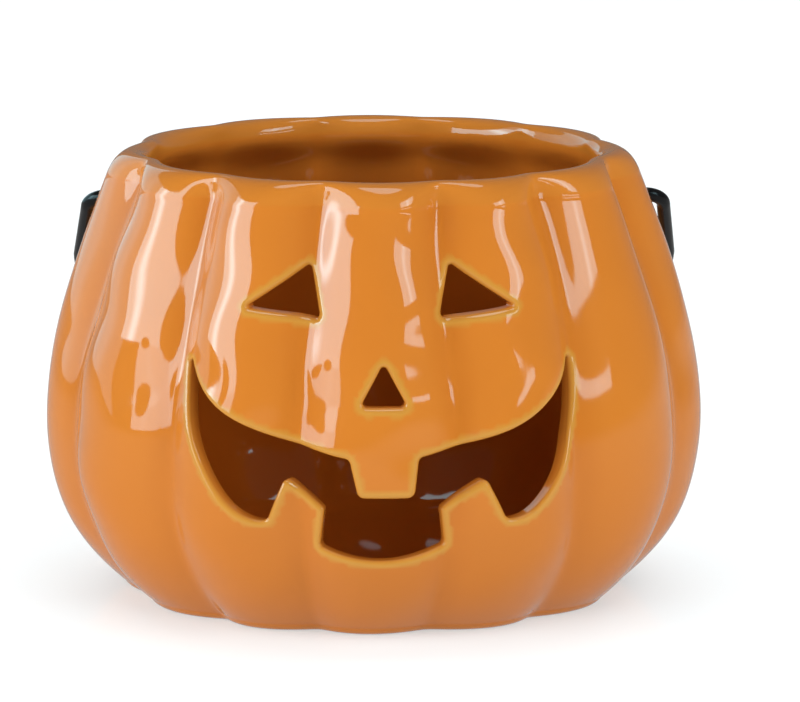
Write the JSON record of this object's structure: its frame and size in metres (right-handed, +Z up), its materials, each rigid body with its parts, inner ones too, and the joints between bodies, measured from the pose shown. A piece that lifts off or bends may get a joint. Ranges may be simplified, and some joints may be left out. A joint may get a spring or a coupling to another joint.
{
  "type": "ceramic jack-o'-lantern pail",
  "caption": "Open-topped lobed ceramic pumpkin pail with a cut-out grinning face and a swinging wire bail leaning on its back.",
  "frame": {"origin": "on the body's upright axis, in the plane it stands on", "axes": "+Z up through the open rim, -Y out of the face, +X to the right of a person looking at the face; the bail hinges about X"},
  "size_m": [0.166, 0.1686, 0.1114],
  "materials": {
    "orange_glaze": "glossy transparent-over-colour glaze, thin and paler on cut edges",
    "black_wire": "black satin coat on round steel wire",
    "black_cap": "plain moulded black"
  },
  "bodies": {
    "body": {"pumpkin_body": "orange_glaze"},
    "bail": {"bail_handle": "black_wire", "left_end_cap": "black_cap", "right_end_cap": "black_cap"}
  },
  "joints": [
    {"name": "bail_swing", "type": "hinge", "parent": "body", "child": "bail", "pos_m": [0, 0.007, 0.0982], "axis": [1, 0, 0], "range_deg": [0, 232]}
  ]
}
